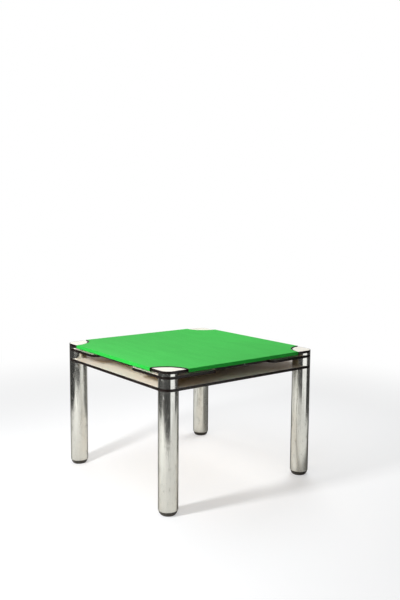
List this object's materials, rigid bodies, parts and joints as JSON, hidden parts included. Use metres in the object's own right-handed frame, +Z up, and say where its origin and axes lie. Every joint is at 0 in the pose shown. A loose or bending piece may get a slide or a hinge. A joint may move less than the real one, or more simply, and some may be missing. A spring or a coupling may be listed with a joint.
{
  "type": "card table",
  "caption": "Square card table: a loose baize panel notched round corner plates, over laminated boards held apart as a card shelf, on thick round steel legs.",
  "frame": {"origin": "on the floor under the middle of the table", "axes": "+Z up, -Y towards the front and -X towards the left, with the table's sides along X and Y"},
  "size_m": [0.986, 0.986, 0.697],
  "materials": {
    "board_core": "raw chipboard",
    "white_laminate": "semi-gloss cream white laminate",
    "brown_backing": "plain brown backing sheet, satin",
    "black_edging": "satin black edge band",
    "polished_steel": "polished",
    "turned_wood": "turned beech",
    "zinc_steel": "zinc plated",
    "bearer_wood": "planed beech",
    "green_baize": "felted wool",
    "panel_backing": "semi-gloss cream white laminate",
    "dark_foot": "dark moulded plastic with a soft sheen"
  },
  "bodies": {
    "table_frame": {"lower_board_core": "board_core", "lower_board_top_laminate": "white_laminate", "lower_board_bottom_laminate": "brown_backing", "lower_board_edging": "black_edging", "middle_board_core": "board_core", "middle_board_top_laminate": "white_laminate", "middle_board_bottom_laminate": "brown_backing", "middle_board_edging": "black_edging", "corner_plate_top_laminates": "white_laminate", "corner_plate_bottom_laminates": "brown_backing", "corner_plate_edgings": "black_edging", "corner_plate_core_front_left": "board_core", "corner_plate_core_front_right": "board_core", "corner_plate_core_back_left": "board_core", "corner_plate_core_back_right": "board_core", "tall_spacer_cores": "turned_wood", "short_spacer_cores": "turned_wood", "tall_spacer_ring_front_left": "polished_steel", "tall_spacer_ring_front_right": "polished_steel", "tall_spacer_ring_back_left": "polished_steel", "tall_spacer_ring_back_right": "polished_steel", "short_spacer_ring_front_left": "polished_steel", "short_spacer_ring_front_right": "polished_steel", "short_spacer_ring_back_left": "polished_steel", "short_spacer_ring_back_right": "polished_steel", "corner_studs": "zinc_steel", "plate_inserts": "zinc_steel", "stud_washers": "zinc_steel", "stud_nuts": "zinc_steel", "corner_dowels": "turned_wood", "bearer_front": "bearer_wood", "bearer_right": "bearer_wood", "bearer_back": "bearer_wood", "bearer_left": "bearer_wood", "bearer_screws": "zinc_steel"},
    "loose_panel": {"panel_core": "board_core", "panel_cloth": "green_baize", "panel_backing": "panel_backing", "panel_bay_bands": "black_edging"},
    "leg_front_left": {"leg_tube_front_left": "polished_steel", "leg_plug_front_left": "zinc_steel", "leg_foot_front_left": "dark_foot"},
    "leg_front_right": {"leg_tube_front_right": "polished_steel", "leg_plug_front_right": "zinc_steel", "leg_foot_front_right": "dark_foot"},
    "leg_back_left": {"leg_tube_back_left": "polished_steel", "leg_plug_back_left": "zinc_steel", "leg_foot_back_left": "dark_foot"},
    "leg_back_right": {"leg_tube_back_right": "polished_steel", "leg_plug_back_right": "zinc_steel", "leg_foot_back_right": "dark_foot"}
  },
  "joints": [
    {"name": "panel_lift", "type": "slide", "parent": "table_frame", "child": "loose_panel", "axis": [0, 0, 1], "range_m": [0, 0.12]},
    {"name": "leg_release_front_left", "type": "slide", "parent": "table_frame", "child": "leg_front_left", "axis": [0, 0, -1], "range_m": [0, 0.034]},
    {"name": "leg_release_front_right", "type": "slide", "parent": "table_frame", "child": "leg_front_right", "axis": [0, 0, -1], "range_m": [0, 0.034]},
    {"name": "leg_release_back_left", "type": "slide", "parent": "table_frame", "child": "leg_back_left", "axis": [0, 0, -1], "range_m": [0, 0.034]},
    {"name": "leg_release_back_right", "type": "slide", "parent": "table_frame", "child": "leg_back_right", "axis": [0, 0, -1], "range_m": [0, 0.034]}
  ]
}
